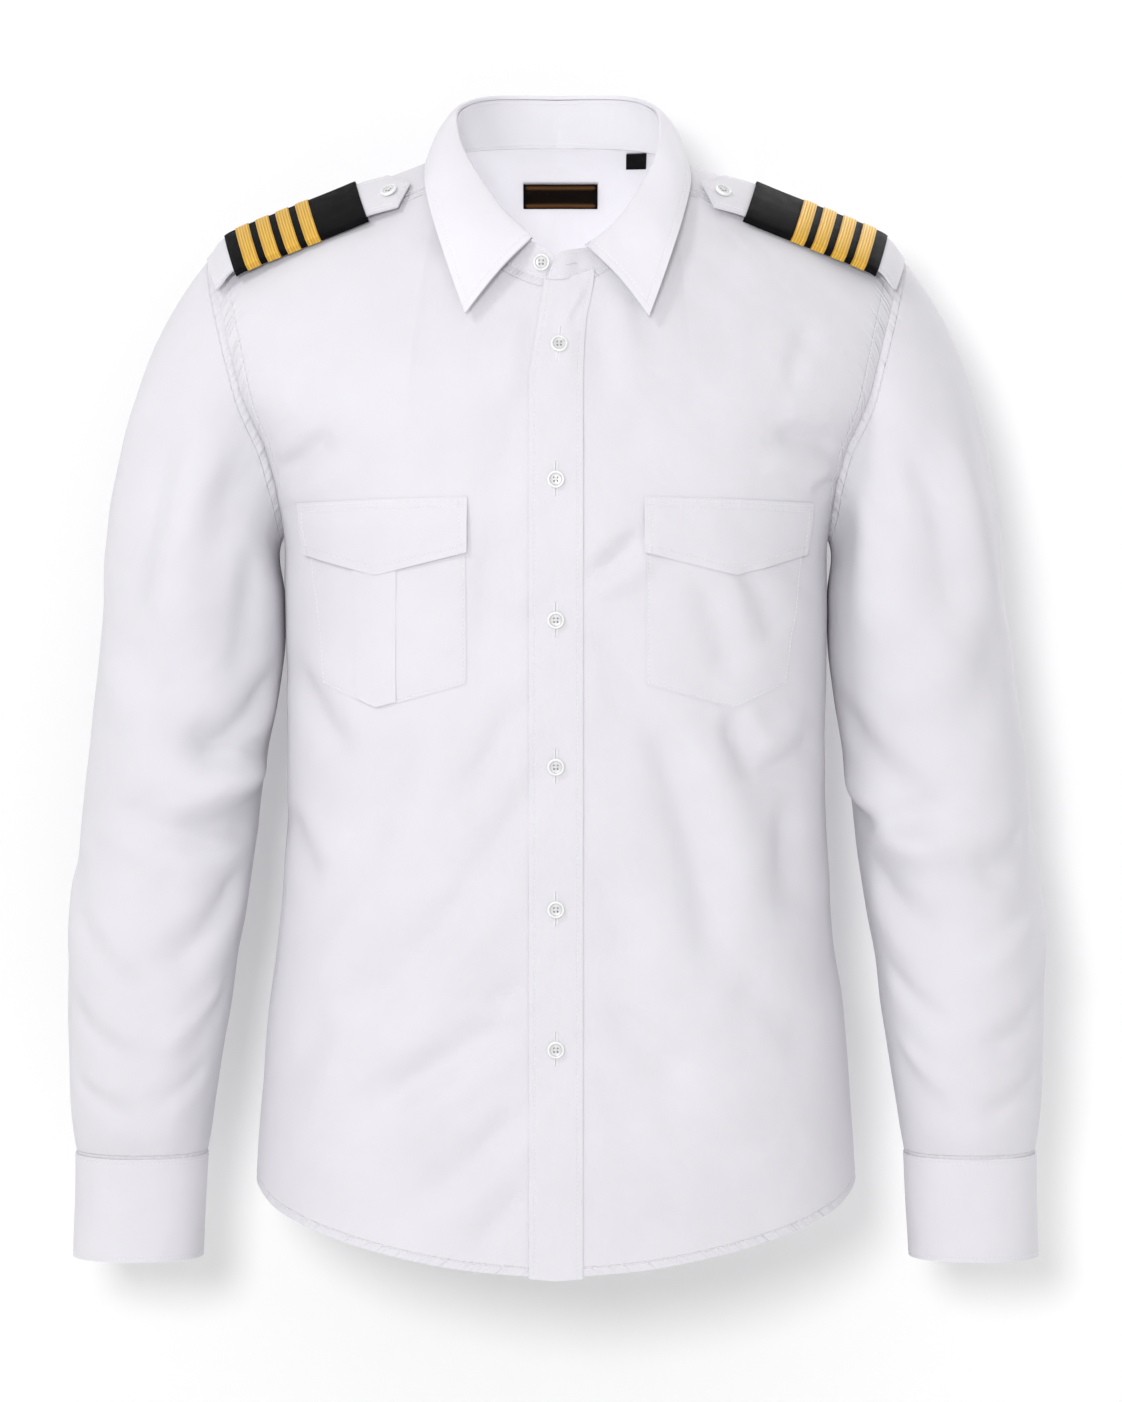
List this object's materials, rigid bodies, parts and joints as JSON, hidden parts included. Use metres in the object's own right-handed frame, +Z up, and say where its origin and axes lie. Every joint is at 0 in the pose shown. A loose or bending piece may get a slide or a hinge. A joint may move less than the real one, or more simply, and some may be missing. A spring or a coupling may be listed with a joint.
{
  "type": "pilot shirt",
  "caption": "White long-sleeved uniform shirt in its worn, filled-out form, with a turn-down collar, flap pockets and black shoulder sliders that carry gold rank bars.",
  "frame": {"origin": "between the two neck points, at the height where the shoulder line meets the collar, where the wearer's neck and shoulders hold the shirt", "axes": "+X to the wearer's left, +Y to the wearer's back, +Z up"},
  "size_m": [0.6534, 0.2641, 0.7817],
  "materials": {
    "shirt_cotton": "matte plain weave",
    "slider_satin": "black satin",
    "gold_braid": "metallic woven braid",
    "button_plastic": "pearly gloss",
    "label_weave": "woven tape"
  },
  "bodies": {
    "root": {"front_right": "shirt_cotton", "front_left": "shirt_cotton", "placket": "shirt_cotton", "back": "shirt_cotton", "yoke": "shirt_cotton", "collar_stand": "shirt_cotton", "collar_leaf": "shirt_cotton", "sleeve_right": "shirt_cotton", "sleeve_placket_right": "shirt_cotton", "cuff_right": "shirt_cotton", "pocket_right": "shirt_cotton", "pocket_flap_right": "shirt_cotton", "epaulette_right": "shirt_cotton", "sleeve_left": "shirt_cotton", "sleeve_placket_left": "shirt_cotton", "cuff_left": "shirt_cotton", "pocket_left": "shirt_cotton", "pocket_flap_left": "shirt_cotton", "epaulette_left": "shirt_cotton", "pocket_pleat_right": "shirt_cotton", "slider_right": "slider_satin", "slider_left": "slider_satin", "rank_bar_right_1": "gold_braid", "rank_bar_right_2": "gold_braid", "rank_bar_right_3": "gold_braid", "rank_bar_right_4": "gold_braid", "rank_bar_left_1": "gold_braid", "rank_bar_left_2": "gold_braid", "rank_bar_left_3": "gold_braid", "rank_bar_left_4": "gold_braid", "placket_button_1": "button_plastic", "placket_button_2": "button_plastic", "placket_button_3": "button_plastic", "placket_button_4": "button_plastic", "placket_button_5": "button_plastic", "placket_button_6": "button_plastic", "stand_button": "button_plastic", "epaulette_button_right": "button_plastic", "epaulette_button_left": "button_plastic", "cuff_button_right": "button_plastic", "cuff_button_left": "button_plastic", "neck_label": "label_weave", "size_tab": "label_weave"}
  },
  "joints": []
}
